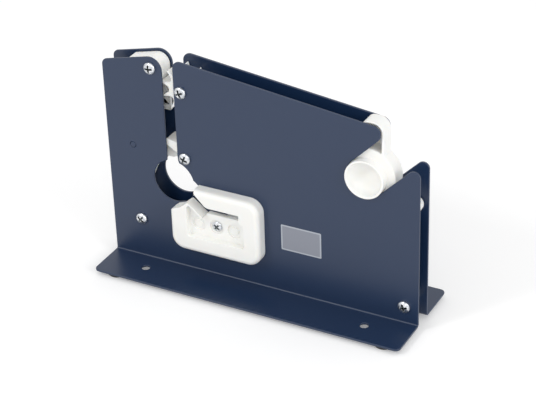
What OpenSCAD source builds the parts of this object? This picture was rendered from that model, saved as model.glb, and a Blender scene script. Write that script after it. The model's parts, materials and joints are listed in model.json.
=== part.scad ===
// Bag neck sealer: two bent steel side plates hold a tape hub, a toothed feed wheel,
// two sprung arms and a tape cutter. A guarded blade on the front trims the neck.
// X runs from the bag slot to the tape hub, Y across the plates, Z up from the floor.
// Heights marked "above the flange" are taken from the top of the bolt flanges.

/* [Side plates] */
// Length of both plates
plate_len = 216; // [216:1:240]
// Thickness of the steel sheet
plate_t = 1.5; // [1.2:0.1:2]
// Clear gap between the plates, for tape up to 2 mm narrower
gap_w = 12; // [11:0.5:16]
// Width of each flange, from the outer face of its plate
flange_w = 29; // [27:0.5:36]
// Inside radius of the flange bend
bend_r = 1; // [0.6:0.1:2]
// Height of the main plate at the slot above the flange
main_h = 146.9; // [145:0.5:150]
// Width of the tower, from the plate's end to the slot
tower_w = 43; // [42:0.5:44]
// Drop of the tower's outer end below the main plate's height
tower_drop = 9.2; // [8:0.2:11]
// Slope of the tower's top, rising to the slot
tower_slope = 13.4; // [10:0.2:15]
// Fall of the main plate's top towards the hub
main_slope = 6.7; // [5:0.1:7]
// Radius of the tower's outer top corner
tower_outer_r = 4; // [2:0.5:6]
// Radius of the tower's top corner at the slot
tower_inner_r = 8.5; // [6:0.5:9]
// Radius of the main plate's top corner at the slot
main_inner_r = 5; // [3:0.5:7]
// Radius of the rounded corner above the hub slot
hub_tip_r = 5.5; // [4:0.5:6]
// Radius of the rounded corner below the hub slot
tail_tip_r = 4; // [3:0.5:5]
// Radius of the flange corners
flange_corner_r = 3.5; // [2:0.5:5]

/* [Bag slot] */
// Width of the bag slot
slot_w = 8; // [7:0.5:9]
// Distance of the round opening's centre from the slot's left edge
eye_shift = 4.3; // [3.8:0.1:4.6]
// Drop of the round opening's centre below the main plate's height
eye_drop = 85.4; // [84:0.2:87]
// Radius of the round opening
eye_r = 14.6; // [13.5:0.1:15]
// Angle of the throat's upper edge below level
throat_angle = 41; // [38:1:44]
// Radius where the slot turns into the throat
throat_r = 12; // [8:1:14]
// Drop of the trimming slot below the round opening's centre
trim_drop = 10.3; // [9.7:0.1:10.9]
// Height of the trimming slot in the plates
trim_w = 6; // [5:0.5:7]
// Length of the trimming slot, from the slot's left edge
trim_len = 57; // [55:0.5:59]

/* [Bolt holes] */
// Distance between the two holes in a flange
bolt_pitch = 156; // [150:1:164]
// Distance of the holes from the plate's outer face
bolt_inset = 13.3; // [11:0.1:15]
// Diameter of the bolt holes
bolt_d = 5.5; // [4.5:0.1:6.5]

/* [Sleeves and screws] */
// Outer diameter of the spacer sleeves
sleeve_d = 8; // [7.6:0.1:8.4]
// Diameter of the screws
screw_d = 4; // [3.5:0.1:4.2]
// Diameter of the pan heads
head_d = 8; // [7:0.1:8.6]
// Height of the pan heads
head_h = 2.7; // [2.2:0.1:3]
// Length of the screws under the head
screw_len = 6.5; // [5:0.5:7]
// Radial running clearance on the sleeves
run_gap = 0.06; // [0.03:0.01:0.1]
// Radial clearance of screws and pins in their holes
hole_gap = 0.15; // [0.1:0.05:0.25]
// Side clearance between a moving piece and a plate
side_gap = 0.6; // [0.5:0.1:0.8]

/* [Feed wheel] */
// Number of teeth
wheel_teeth = 10; // [10:1:11]
// Radius over the tooth tips
wheel_r = 15.2; // [14.8:0.1:15.4]
// Radius where the flanks of two teeth would meet
wheel_root_r = 7.2; // [6.8:0.1:7.8]
// Radius of the round bottoms of the tooth gaps
wheel_gap_r = 2.4; // [2:0.1:2.8]
// Radius of the tooth tips
wheel_tip_r = 0.4; // [0.3:0.1:0.5]
// Angle of the first tooth above level
wheel_turn = 94; // [90:1:98]

/* [Pressure arm] */
// Wall thickness of the arm's shell
arm_wall = 2.2; // [1.8:0.1:2.4]
// Margin between the arm and the tower's edges
arm_inset = 1.4; // [1:0.1:1.6]
// Length of the arm's roof
arm_len = 25; // [22:0.5:27]
// Depth of the short cheek below the pivot
arm_short = 10; // [9:0.5:12]
// Depth of the long cheek below the pivot
arm_long = 33; // [31:0.5:34]
// Free space around the feed wheel
wheel_space = 0.9; // [0.7:0.1:1.1]

/* [Tape cutter] */
// Outer diameter of the cutter's hub
lever_hub_d = 13; // [12.6:0.1:13.4]
// Reach of the finger across the slot
finger_len = 18; // [17:0.5:18.5]
// Angle of the finger above level
finger_angle = 35; // [33:1:36]
// Thickness of the finger's tip
finger_tip = 4.4; // [3.6:0.1:4.8]
// Height of the knife edge above the cutter's pivot
knife_h = 20; // [18:0.5:21]
// Thickness of the knife
knife_t = 0.6; // [0.5:0.1:0.8]
// Pitch of the knife's teeth
knife_pitch = 1.3; // [1.1:0.1:1.6]

/* [Springs] */
// Diameter of the spring wire
wire_d = 0.7; // [0.6:0.05:0.8]
// Mean radius of the two pull springs
coil_r = 2; // [1.8:0.1:2.2]
// Rise of a curl of the pull springs
coil_pitch = 1.5; // [1.4:0.1:1.7]
// Number of curls of the pull springs
coil_curls = 14; // [10:1:16]

/* [Tape hub] */
// Outer diameter of the hub's tube
tube_d = 25.4; // [24.4:0.2:25.6]
// Wall thickness at the tube's rim
tube_wall = 1.3; // [1:0.1:1.8]
// How far the tube stands out of each plate
tube_out = 3.2; // [2:0.2:5]
// Radius over the three wings, for a 76 mm tape core
wing_r = 37.5; // [36:0.5:37.6]
// Width of a wing
wing_w = 18; // [14:0.5:19]
// Depth of the cups in the tube
cup_depth = 9; // [6:0.5:10]
// Clearance of the tube in its slot
hub_gap = 0.3; // [0.25:0.05:0.5]

/* [Trimming guard] */
// Width of the guard
guard_w = 63.8; // [62:0.2:65]
// Height of the guard
guard_h = 45.8; // [45:0.2:46.4]
// Thickness of the guard
guard_t = 8.5; // [7.5:0.5:9.5]
// Radius of the guard's corners
guard_r = 9; // [8:0.5:10]
// Diameter of the head of the guard's screw
guard_head_d = 6.8; // [6.4:0.2:7.4]
// Height of that head
guard_head_h = 1.6; // [1.4:0.1:2]
// Diameter of the sunk seat round that head
guard_seat_d = 10; // [9:0.2:10.6]
// Depth of the seat below the sunk panel
guard_seat_depth = 1.2; // [0.8:0.1:1.6]
// Distance of the two ring marks from the guard's screw
ring_pitch = 12.8; // [12:0.2:13.4]
// Radius of the guard's front edge
guard_edge_r = 3; // [2:0.2:3.2]
// Height of the guide slot in the guard
guide_w = 6.4; // [5.6:0.2:6.8]
// Depth of the sunk panel
panel_depth = 4.5; // [3.5:0.25:5]
// Thickness of the rib between the mouth and the panel
rib_t = 1.1; // [0.9:0.1:1.4]
// Thickness of the trimming blade
blade_t = 0.6; // [0.4:0.1:0.7]
// Width of the trimming blade
blade_w = 9; // [8:0.5:10]
// Length of the trimming blade
blade_len = 22; // [20:1:24]

/* [Feet] */
// Diameter of the rubber feet
foot_d = 12; // [10:0.5:14]
// Height of the rubber feet
foot_h = 3; // [2:0.5:5]
// Distance of the feet from the flange's end
foot_end = 13; // [10:0.5:16]
// Distance of the feet from the flange's free edge
foot_edge = 7.5; // [7.5:0.5:9]

/* [Hidden] */
$fn = 64;
cut = 0.5;                       // how far a cutting tool runs past a face
navy = [0.25, 0.28, 0.35];
ivory = [0.94, 0.94, 0.92];
zinc = [0.8, 0.81, 0.83];
steel = [0.7, 0.72, 0.74];
black_rubber = [0.06, 0.06, 0.06];

deck_z = foot_h + plate_t;       // top of the flanges above the floor
half_len = plate_len / 2;
half_gap = gap_w / 2;
outer_y = half_gap + plate_t;    // outer face of each plate
moving_w = gap_w - 2 * side_gap; // width of every piece that moves between the plates
bore_r = sleeve_d / 2 + run_gap;

// The slot, the round opening and the trimming slot follow from the plate's end and height
slot_x = half_len - tower_w;     // left edge of the slot, left of the plate's centre
slot_right_x = slot_w - slot_x;  // right edge of the slot
tower_h = main_h - tower_drop;
eye_x = slot_x - eye_shift;
eye_z = main_h - eye_drop;
trim_z = eye_z - trim_drop;
trim_end_x = slot_x - trim_len;
throat_z = eye_z + 12.8;

// Places in the plane of the plates, as [x, height above the flange], each measured from
// the edge or opening that it belongs to
arm_at = [-slot_x - 7.8, tower_h + 0.8];
wheel_at = [slot_right_x + 5.1, main_h - 21];
cutter_at = [slot_right_x + 5.6, eye_z + 18.4];
stop_at = cutter_at + [11.4, -12.9];
shoe_at = [-slot_x - 21.5, eye_z - 33.6];
post_at = shoe_at + [-2.9, 53.5];
tail_at = [half_len - 9.2, 11.7];
hub_at = [half_len - 35, main_h - 51.4];
guard_at = [36.6 - slot_x, trim_z - 10.8];
hub_slot_angle = 45;
screw_places = [arm_at, wheel_at, cutter_at, shoe_at, tail_at];
post_d = 4;
collar_w = 1.2;
collar_h = 0.8;

function unit(v) = v / norm(v);
function side(angle) = [cos(angle), sin(angle)];

// Where a line through p at one angle meets a line through q at another
function meet(p, p_angle, q, q_angle) =
    let (d = side(p_angle), e = side(q_angle), w = q - p)
    p + d * ((w[0] * e[1] - w[1] * e[0]) / (d[0] * e[1] - d[1] * e[0]));

// A path of [x, z, radius] corners, with each corner drawn as an arc
arc_steps = 8;
function corner_arc(a, b, c, r) =
    let (u = unit(a - b), w = unit(c - b), half = acos(u * w) / 2)
    let (centre = b + unit(u + w) * r / sin(half))
    let (p = b + u * r / tan(half) - centre, q = b + w * r / tan(half) - centre)
    let (from = atan2(p[1], p[0]), to = atan2(q[1], q[0]))
    let (sweep = to - from > 180 ? to - from - 360 : to - from < -180 ? to - from + 360 : to - from)
    [for (i = [0 : arc_steps]) centre + r * side(from + sweep * i / arc_steps)];
function flat(p) = [p[0], p[1]];
function rounded(path) =
    let (n = len(path))
    [for (i = [0 : n - 1])
        for (p = path[i][2] > 0
            ? corner_arc(flat(path[(i + n - 1) % n]), flat(path[i]), flat(path[(i + 1) % n]), path[i][2])
            : [flat(path[i])]) p];

// Stands a drawing in the plane of the plates, from y0 to y1, on the flange's level
module stand(y0, y1) {
    translate([0, y1, deck_z])
        rotate([90, 0, 0])
            linear_extrude(y1 - y0)
                children();
}

// A pin or bore across the plates at a place in their plane
module across(at, r, y0, y1) {
    translate([at[0], y1, deck_z + at[1]])
        rotate([90, 0, 0])
            cylinder(r = r, h = y1 - y0);
}

// ---- side plates ----

tower_top_z = tower_h + (half_len - slot_x) * tan(tower_slope);
hub_slot_r = tube_d / 2 + hub_gap;
hub_slot_lip = 0.06;             // the slot's walls stand in this much from its round seat
hub_slot_side = [-sin(hub_slot_angle), cos(hub_slot_angle)] * (hub_slot_r - hub_slot_lip);
hub_tip = meet([slot_right_x, main_h], -main_slope, hub_at + hub_slot_side, hub_slot_angle);
tail_tip = meet([half_len, 0], 90, hub_at - hub_slot_side, hub_slot_angle);

module tower_outline() {
    polygon(rounded([
        [-half_len, bend_r, 0],
        [-half_len, tower_h, tower_outer_r],
        [-slot_x, tower_top_z, tower_inner_r],
        [-slot_x, bend_r, 0]]));
}

module main_outline() {
    upper = hub_at + hub_slot_side;
    lower = hub_at - hub_slot_side;
    polygon(rounded([
        [-slot_x, bend_r, 0],
        [-slot_x, eye_z - eye_r / 2, 0],
        [slot_right_x, eye_z - eye_r / 2, 0],
        [slot_right_x, main_h, main_inner_r],
        [hub_tip[0], hub_tip[1], hub_tip_r],
        [upper[0], upper[1], 0],
        [lower[0], lower[1], 0],
        [tail_tip[0], tail_tip[1], tail_tip_r],
        [half_len, bend_r, 0]]));
}

// The throat widens the slot under the round opening and leads to the trimming slot
module throat_outline() {
    trim_top = trim_z + trim_w / 2;
    trim_bottom = trim_z - trim_w / 2;
    foot_of_edge = meet([slot_right_x, throat_z], -throat_angle, [0, trim_top], 0);
    polygon(rounded([
        [slot_right_x - cut, throat_z + 3 * throat_r / 2, 0],
        [slot_right_x, throat_z + 3 * throat_r / 2, 0],
        [slot_right_x, throat_z, throat_r],
        [foot_of_edge[0], foot_of_edge[1], 0],
        [-trim_end_x, trim_top, trim_w / 2 - 0.1],
        [-trim_end_x, trim_bottom, trim_w / 2 - 0.1],
        [-eye_x, trim_bottom, 0],
        [-eye_x, throat_z, 0]]));
}

module plate_wall() {
    difference() {
        stand(-outer_y, -half_gap) {
            tower_outline();
            main_outline();
        }
        stand(-outer_y - cut, cut - half_gap)
            throat_outline();
        across([-eye_x, eye_z], eye_r, -outer_y - cut, cut - half_gap);
        across(hub_at, hub_slot_r, -outer_y - cut, cut - half_gap);
        for (at = screw_places)
            across(at, screw_d / 2 + hole_gap, -outer_y - cut, cut - half_gap);
        across(post_at, post_d / 2 + hole_gap, -outer_y - cut, cut - half_gap);
    }
}

module plate_bend() {
    centre_y = -outer_y - bend_r;
    translate([0, centre_y, deck_z + bend_r])
        rotate([0, 90, 0])
            intersection() {
                difference() {
                    cylinder(r = bend_r + plate_t, h = plate_len, center = true);
                    cylinder(r = bend_r, h = plate_len + cut, center = true);
                }
                translate([0, 0, -half_len])
                    cube([bend_r + plate_t, bend_r + plate_t, plate_len]);
            }
}

module plate_flange() {
    inner_y = -outer_y - bend_r;
    free_y = -outer_y - flange_w;
    translate([0, 0, foot_h])
        difference() {
            linear_extrude(plate_t)
                polygon(rounded([
                    [-half_len, inner_y, 0],
                    [half_len, inner_y, 0],
                    [half_len, free_y, flange_corner_r],
                    [-half_len, free_y, flange_corner_r]]));
            for (x = [-1, 1])
                translate([x * bolt_pitch / 2, -outer_y - bolt_inset, -cut])
                    cylinder(d = bolt_d, h = plate_t + 2 * cut);
        }
}

module bare_plate() {
    union() {
        plate_wall();
        plate_bend();
        plate_flange();
    }
}

module front_plate() {
    color(navy)
        difference() {
            bare_plate();
            across(guard_screw_at, screw_d / 2 + hole_gap, -outer_y - cut, cut - half_gap);
        }
}

module rear_plate() {
    color(navy)
        difference() {
            mirror([0, 1, 0])
                bare_plate();
            across(stop_at, post_d / 2 + hole_gap, half_gap - cut, outer_y + cut);
        }
}

// ---- sleeves, posts and screws ----

module sleeve(at) {
    color(zinc)
        difference() {
            across(at, sleeve_d / 2, -half_gap, half_gap);
            across(at, screw_d / 2 + hole_gap / 3, -half_gap - cut, half_gap + cut);
        }
}

// The post that both pull springs hook on goes through both plates
module spring_post() {
    color(steel)
        union() {
            across(post_at, post_d / 2, -outer_y, outer_y);
            for (y = [-half_gap, half_gap - collar_w])
                across(post_at, post_d / 2 + collar_h, y, y + collar_w);
        }
}

// The cutter's stop is riveted in the rear plate and ends at the front plate
module stop_post() {
    color(steel)
        union() {
            across(stop_at, post_d / 2, -half_gap, outer_y);
            across(stop_at, post_d / 2 + collar_h, half_gap - collar_w, half_gap);
        }
}

// A pan-head screw with a cross recess, its head's seat at y = 0 and its tip at +y
module pan_screw(length, d, head_h) {
    dome_r = d * 0.72;
    recess_depth = head_h * 0.6;
    difference() {
        union() {
            rotate([-90, 0, 0])
                cylinder(d = screw_d, h = length);
            intersection() {
                rotate([90, 0, 0])
                    cylinder(d = d, h = head_h);
                translate([0, dome_r - head_h, 0])
                    sphere(r = dome_r);
            }
        }
        for (turn = [0, 90])
            rotate([0, turn + 20, 0])
                translate([-d * 0.29, -head_h - cut, -d * 0.06])
                    cube([d * 0.58, recess_depth + cut, d * 0.12]);
    }
}

module front_screws() {
    color(zinc)
        for (at = screw_places)
            translate([at[0], -outer_y, deck_z + at[1]])
                pan_screw(screw_len, head_d, head_h);
}

module rear_screws() {
    color(zinc)
        mirror([0, 1, 0])
            for (at = screw_places)
                translate([at[0], -outer_y, deck_z + at[1]])
                    pan_screw(screw_len, head_d, head_h);
}

// ---- feed wheel ----

module feed_wheel() {
    half_w = moving_w / 2;
    step = 360 / wheel_teeth;
    color(ivory)
        difference() {
            translate([wheel_at[0], 0, wheel_at[1]])
                stand(-half_w, half_w)
                    polygon(rounded([
                        for (i = [0 : wheel_teeth - 1])
                            for (corner = [
                                [wheel_turn + i * step, wheel_r + 3.5 * wheel_tip_r, wheel_tip_r],
                                [wheel_turn + (i + 0.5) * step, wheel_root_r, wheel_gap_r]])
                                concat(corner[1] * side(corner[0]), corner[2])]));
            across(wheel_at, bore_r, -half_w - cut, half_w + cut);
        }
}

// ---- pressure arm in the tower ----

function tower_roof(x) = tower_h + (x + half_len) * tan(tower_slope) - arm_inset;

arm_right = -slot_x - arm_inset + 0.4;
arm_left = arm_right - arm_len;

module arm_cheek(depth, toe, heel) {
    polygon(rounded([
        [arm_left, tower_roof(arm_left), 1.5],
        [arm_right, tower_roof(arm_right), tower_inner_r - arm_inset],
        [arm_right, arm_at[1] - depth, 1],
        [arm_right - toe, arm_at[1] - depth, 1],
        [arm_left, arm_at[1] - heel, 2]]));
}

module arm_inside() {
    inner_right = arm_right - arm_wall;
    inner_left = arm_left - cut;
    low = arm_at[1] - arm_long - cut;
    polygon(rounded([
        [inner_left, tower_roof(inner_left) - arm_wall, 0],
        [inner_right, tower_roof(inner_right) - arm_wall, tower_inner_r - arm_inset - arm_wall],
        [inner_right, low, 0],
        [inner_left, low, 0]]));
}

module pressure_arm() {
    half_w = moving_w / 2;
    color(ivory)
        difference() {
            union() {
                stand(-half_w, arm_wall - half_w)
                    arm_cheek(arm_short, arm_len / 2, arm_short * 0.7);
                stand(half_w - arm_wall, half_w)
                    arm_cheek(arm_long, 7, arm_short * 1.6);
                stand(-half_w, half_w)
                    difference() {
                        arm_cheek(arm_short, arm_len / 2, arm_short * 0.7);
                        arm_inside();
                    }
                across(arm_at, sleeve_d / 2 + arm_wall * 0.8, -half_w, half_w);
                across(arm_hook, hook_pin_r, arm_spring_y - 2, half_w);
            }
            across(arm_at, bore_r, -half_w - cut, half_w + cut);
            across(wheel_at, wheel_r + wheel_space, -half_w - cut, half_w + cut);
        }
}

// ---- tape cutter ----

// Points in the cutter's own plane, with its pivot at [0, 0]
hub_r = lever_hub_d / 2;
finger_end = finger_len * side(180 - finger_angle);
stop_from_pivot = stop_at - cutter_at;
tail_gap = 0.3;
tail_half_w = 2;
// The tail lies beside the stop post, so its own angle follows from the post's place
tail_angle = atan2(stop_from_pivot[1], stop_from_pivot[0])
    + asin((tail_half_w + post_d / 2 + tail_gap) / norm(stop_from_pivot));
spring_side_y = 1.4;             // the twist spring lies between this and the rear plate
knife_x = -2.4;
knife_seat = 11;                 // how much of the knife is held in the lever
knife_arm_w = 3.6;
rivet_d = 1.6;

module cutter_outline() {
    circle(r = hub_r);
    polygon(rounded([
        [finger_end[0], finger_end[1], 0.8],
        [finger_end[0] + 0.4, finger_end[1] - finger_tip, 0.8],
        [-hub_r * 1.34, hub_r * 0.35, 2],
        [0, -hub_r * 0.3, 0],
        [0, hub_r, 0],
        [-hub_r * 0.6, hub_r * 1.42, 0],
        [-hub_r * 1.2, hub_r * 1.37, 0]]));
    translate([knife_x - knife_arm_w / 2, 0])
        square([knife_arm_w, knife_h - 5]);
}

module cutter_tail() {
    rotate(tail_angle)
        translate([0, -tail_half_w])
            square([norm(stop_from_pivot) + 1.5, 2 * tail_half_w]);
}

module at_cutter() {
    translate([cutter_at[0], 0, cutter_at[1]])
        children();
}

module cutter_lever() {
    half_w = moving_w / 2;
    color(ivory)
        difference() {
            at_cutter() {
                stand(-half_w, half_w)
                    cutter_outline();
                stand(-half_w, spring_side_y)
                    cutter_tail();
            }
            across(cutter_at, bore_r, -half_w - cut, half_w + cut);
            across(cutter_at, hub_r + 1.1, spring_side_y, half_w + cut);
            at_cutter() {
                stand(spring_side_y, half_w + cut)
                    translate([knife_x - knife_arm_w / 2 - 1.4, 0])
                        square([1.4, knife_h]);
                stand(-half_w - cut, half_w + cut)
                    translate([knife_x - knife_t / 2 - 0.05, knife_h - knife_seat])
                        square([knife_t + 0.1, knife_seat]);
                rivet_holes();
            }
        }
}

module rivet_holes() {
    for (y = [-1, 1])
        translate([knife_x - knife_arm_w, y * 3.2, deck_z + knife_h - 7.6])
            rotate([0, 90, 0])
                cylinder(d = rivet_d + 0.1, h = 2 * knife_arm_w);
}

module tape_knife() {
    half_w = moving_w / 2 - 0.2;
    teeth = floor(2 * half_w / knife_pitch);
    color(steel)
        difference() {
            at_cutter()
                translate([knife_x - knife_t / 2, 0, deck_z])
                    rotate([90, 0, 90])
                        linear_extrude(knife_t)
                            difference() {
                                translate([-half_w, knife_h - knife_seat])
                                    square([2 * half_w, knife_seat]);
                                for (i = [0 : teeth])
                                    translate([(i - teeth / 2) * knife_pitch, knife_h])
                                        rotate(45)
                                            square(knife_pitch * 0.66, center = true);
                            }
            at_cutter()
                rivet_holes();
        }
}

// Two flat-headed rivets through the knife and the lever
module knife_rivets() {
    head_t = 0.5;
    left = knife_x - knife_arm_w / 2;
    color(zinc)
        at_cutter()
            for (y = [-1, 1])
                translate([left - head_t, y * 3.2, deck_z + knife_h - 7.6])
                    rotate([0, 90, 0]) {
                        cylinder(d = rivet_d, h = knife_arm_w + 2 * head_t);
                        cylinder(d = rivet_d * 1.6, h = head_t);
                        translate([0, 0, knife_arm_w + head_t])
                            cylinder(d = rivet_d * 1.6, h = head_t);
                    }
}

// ---- neck shoe in the tower ----

// Drawn round its own pivot, with the hook pin at shoe_pin
module shoe_outline() {
    translate(shoe_at) {
        polygon(rounded([
            [shoe_reach, shoe_top - 3, 1.2],
            [shoe_hub_r - 3.8, shoe_top / 2 - 3.2, 14],
            [shoe_hub_r, 2.1, 6],
            [shoe_hub_r - 3.8, -shoe_hub_r - 1, 5],
            [-shoe_hub_r, -0.9, 4],
            [shoe_pin[0] - 2, shoe_pin[1] - 5.5, 2.4],
            [shoe_pin[0] - 4, shoe_pin[1] + 1.5, 2],
            [shoe_pin[0] - 1.5, shoe_pin[1] + 3.2, 1.5],
            [shoe_pin[0] + 7, shoe_pin[1] + 3, 3],
            [-shoe_hub_r / 2, shoe_top / 2 - 1.7, 10],
            [shoe_reach - 7.4, shoe_top, 1.2]]));
        circle(r = shoe_hub_r);
    }
}

module neck_shoe() {
    half_w = moving_w / 2;
    fork_w = 3.6;
    color(ivory)
        union() {
            difference() {
                stand(-half_w, half_w)
                    shoe_outline();
                across(shoe_at, bore_r, -half_w - cut, half_w + cut);
                stand(shoe_spring_y - fork_w / 2, shoe_spring_y + fork_w / 2)
                    translate(shoe_hook - [8, 5.5])
                        square([13, 12]);
            }
            across(shoe_hook, hook_pin_r, shoe_spring_y - fork_w / 2, shoe_spring_y + fork_w / 2);
        }
}

// ---- springs ----

// A round wire along a path of points: each ring is square to the path
wire_sides = 6;
function tangent(path, i) = unit(path[min(i + 1, len(path) - 1)] - path[max(i - 1, 0)]);
function square_to(n, t) = unit(n - (n * t) * t);
function normals(path, first) =
    [for (i = 0, n = square_to(first, tangent(path, 0));
          i < len(path);
          i = i + 1, n = i < len(path) ? square_to(n, tangent(path, i)) : n) n];

module wire(path, first) {
    ns = normals(path, first);
    rings = len(path);
    points = [for (i = [0 : rings - 1])
        let (n = ns[i], b = cross(tangent(path, i), n))
        for (k = [0 : wire_sides - 1])
            path[i] + wire_d / 2 * (n * cos(k * 360 / wire_sides) + b * sin(k * 360 / wire_sides))];
    skin = [for (i = [0 : rings - 2])
        for (k = [0 : wire_sides - 1])
            let (a = i * wire_sides + k, b = i * wire_sides + (k + 1) % wire_sides)
            for (face = [[a, a + wire_sides, b], [b, a + wire_sides, b + wire_sides]]) face];
    last = (rings - 1) * wire_sides;
    caps = [for (k = [1 : wire_sides - 2])
        for (face = [[0, k, k + 1], [last, last + k + 1, last + k]]) face];
    color(steel)
        polyhedron(points = points, faces = concat(skin, caps));
}

// Least distance between turns a full curl apart, less the wire
function curl_gap(path, per_turn) =
    min([for (i = [0 : len(path) - 1])
        for (j = [i + per_turn / 2 : len(path) - 1])
            if (j - i >= per_turn / 2) norm(path[i] - path[j])]) - wire_d;

// A pull spring between two pins in the plane of the plates, with an open eye round each
rings_per_curl = 8;
function eye_arc(sign) =
    [for (a = [300 : -30 : 60]) [sign * loop_r * cos(a), loop_r * sin(a)]];
function pull_spring_path(p, q, y) =
    let (run = norm(q - p), d = unit(q - p), n = [-d[1], d[0]])
    let (start = (run - coil_curls * coil_pitch) / 2, steps = coil_curls * rings_per_curl)
    let (place = function (u, v, w)
        [p[0] + d[0] * u + n[0] * v, y + w, deck_z + p[1] + d[1] * u + n[1] * v])
    concat(
        [for (e = eye_arc(1)) place(e[0], e[1], 0)],
        [for (i = [0 : steps])
            let (a = i * 360 / rings_per_curl)
            place(start + i * coil_pitch / rings_per_curl, coil_r * cos(a), coil_r * sin(a))],
        [for (i = [len(eye_arc(-1)) - 1 : -1 : 0])
            let (e = eye_arc(-1)[i])
            place(run + e[0], e[1], 0)]);

loop_r = post_d / 2 + 0.3 + wire_d / 2;
hook_pin_r = 1.7;
arm_hook = arm_at - [11.7, 17];
shoe_pin = [-11.5, 12.1];        // the hook's pin from the shoe's pivot
shoe_hook = shoe_at + shoe_pin;
arm_spring_y = 1;
shoe_spring_y = -2.4;
shoe_hub_r = 6.3;
shoe_reach = 15.9;               // the shoe's tip from its pivot
shoe_top = 55.6;

module arm_spring() {
    path = pull_spring_path(arm_hook, post_at, arm_spring_y);
    echo(arm_spring_gap = curl_gap(path, rings_per_curl));
    wire(path, [0, 1, 0]);
}

module shoe_spring() {
    path = pull_spring_path(shoe_hook, post_at, shoe_spring_y);
    echo(shoe_spring_gap = curl_gap(path, rings_per_curl));
    wire(path, [0, 1, 0]);
}

// The cutter's twist spring: one leg under the stop post, the other beside the knife
twist_r = sleeve_d / 2 + 0.35 + wire_d / 2;
twist_pitch = 1.3;
function twist_spring_path() =
    let (d = unit(stop_from_pivot), clockwise = [d[1], -d[0]])
    let (rest = stop_from_pivot + clockwise * (post_d / 2 + 0.3 + wire_d / 2))
    let (from = atan2(rest[1], rest[0]) - acos(twist_r / norm(rest)))
    let (sweep = from + 180 + 720, steps = floor(sweep * rings_per_curl / 360))
    let (y0 = spring_side_y + 0.5, rise = twist_pitch * sweep / 360)
    let (place = function (at, y) [cutter_at[0] + at[0], y, deck_z + cutter_at[1] + at[1]])
    concat(
        [place(rest + 2 * d, y0), place(rest, y0)],
        [for (i = [0 : steps])
            place(twist_r * side(from - sweep * i / steps), y0 + rise * i / steps)],
        [place([-twist_r, knife_h - 9.6], y0 + rise)]);

module cutter_spring() {
    path = twist_spring_path();
    echo(cutter_spring_gap = curl_gap(path, rings_per_curl));
    wire(path, [0, 1, 0]);
}

// ---- tape hub ----

module wing_outline(shrink) {
    intersection() {
        circle(r = wing_r - shrink);
        polygon(rounded([
            [shrink - wing_w / 2, 0, 0],
            [shrink - wing_w / 2, wing_r - shrink, 6.5],
            [wing_w / 2 - shrink, wing_r - shrink, 6.5],
            [wing_w / 2 - shrink, 0, 0]]));
    }
}

module tape_hub() {
    half_w = moving_w / 2;
    tube_y = outer_y + tube_out;
    cup_r = tube_d / 2 - tube_wall;
    color(ivory)
        difference() {
            union() {
                across(hub_at, tube_d / 2, -tube_y, tube_y);
                translate([hub_at[0], 0, hub_at[1]])
                    stand(-half_w, half_w)
                        for (turn = [0, 120, 240])
                            rotate(turn)
                                wing_outline(0);
            }
            for (end = [-1, 1])
                translate([hub_at[0], end * tube_y, deck_z + hub_at[1]])
                    rotate([end * 90, 0, 0])
                        rotate_extrude()
                            polygon(concat(
                                [[0, -cut], [cup_r, -cut], [cup_r, cup_depth * 0.35]],
                                [for (a = [15 : 15 : 90])
                                    [cup_r * cos(a), cup_depth * (0.35 + 0.65 * sin(a))]]));
        }
}

// ---- trimming guard ----

guard_screw_at = guard_at - [0.3, 2.6];
guard_face_y = -outer_y - guard_t;
guide_top = trim_z + 1.5;
guide_bottom = guide_top - guide_w;
guide_end_x = guard_at[0] + 18;
lip_angle = 39;                           // slope of the mouth's lower side
roof_angle = 50;                          // slope of its upper side
mouth_lip = guard_at + [-18.6, 13];       // peak of the mouth's lower side
mouth_roof = mouth_lip + [5, 7.6];        // corner of its upper side
rib_end = mouth_lip + [10.7, -8.5];       // where the rib under the mouth ends
panel_corner = guard_at - [19.4, 11.3];   // lower left corner of the sunk panel
nut_h = 3.2;

module guard_corner(x, z) {
    translate([x, -outer_y, deck_z + z])
        rotate([90, 0, 0]) {
            cylinder(r = guard_r, h = guard_t - guard_edge_r, $fn = 32);
            cylinder(r = guard_r - guard_edge_r * 0.3, h = guard_t - guard_edge_r * 0.3, $fn = 32);
            cylinder(r = guard_r - guard_edge_r, h = guard_t, $fn = 32);
        }
}

module guard_block() {
    corner_x = guard_w / 2 - guard_r;
    corner_z = guard_h / 2 - guard_r;
    hull()
        for (x = [-1, 1])
            for (z = [-1, 1])
                guard_corner(guard_at[0] + x * corner_x, guard_at[1] + z * corner_z);
}

// The open mouth at the upper left and the guide slot that leads from it
module guide_cut() {
    left = guard_at[0] - guard_w / 2;
    top = guard_at[1] + guard_h / 2;
    foot_of_roof = meet(mouth_roof + [0.2, 1.5], -roof_angle, [0, guide_top], 0);
    polygon(rounded([
        [left - cut, top + cut, 0],
        [mouth_roof[0] - 0.6, top + cut, 0],
        [mouth_roof[0], mouth_roof[1], 3],
        [foot_of_roof[0], foot_of_roof[1], 5],
        [guide_end_x, guide_top, 0],
        [guide_end_x, guide_bottom, 0],
        [rib_end[0] + 1.2, guide_bottom, 0.5],
        [rib_end[0], rib_end[1], 0],
        [mouth_lip[0], mouth_lip[1], 1],
        [mouth_lip[0] - 5.6, mouth_lip[1] - 4.9, 3],
        [left + 3.1, mouth_lip[1] - 6.4, 2],
        [left - 0.4, mouth_lip[1] - 9.4, 0],
        [left - cut, mouth_lip[1] - 9.6, 0]]));
}

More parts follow.
